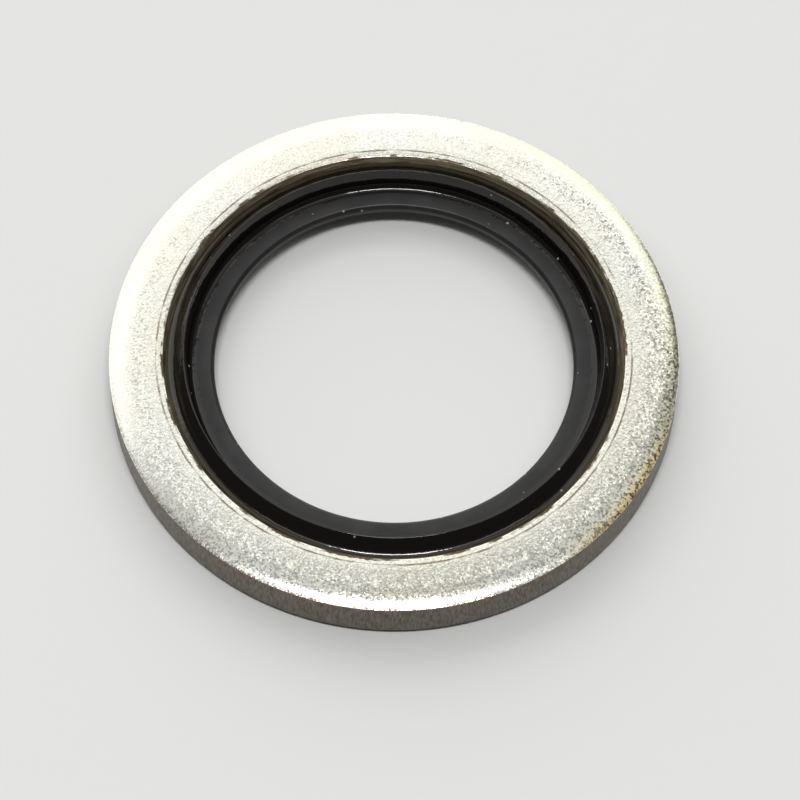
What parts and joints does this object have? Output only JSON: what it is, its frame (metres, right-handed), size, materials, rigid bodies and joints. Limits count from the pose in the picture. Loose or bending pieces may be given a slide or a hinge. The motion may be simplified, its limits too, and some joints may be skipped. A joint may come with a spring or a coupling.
{
  "type": "bonded sealing washer",
  "caption": "Flat plated steel washer with a moulded rubber lip seal bonded in its bore and a thin web that centres it on a pipe thread.",
  "frame": {"origin": "on the washer's axis, in the plane that it rests on, under the crest of the lower rubber lip", "axes": "+Z along the axis, up out of the face whose outer edge is rolled; +X and +Y are any two radial directions at right angles"},
  "size_m": [0.0238, 0.0238, 0.0025],
  "materials": {
    "zinc_plated_steel": "zinc plated and clear passivated with a faint straw tint, satin, finely pitted",
    "moulded_rubber": "moulded, semi-matt, glossier on the lip"
  },
  "bodies": {
    "root": {"steel_ring": "zinc_plated_steel", "rubber_seal": "moulded_rubber"}
  },
  "joints": []
}
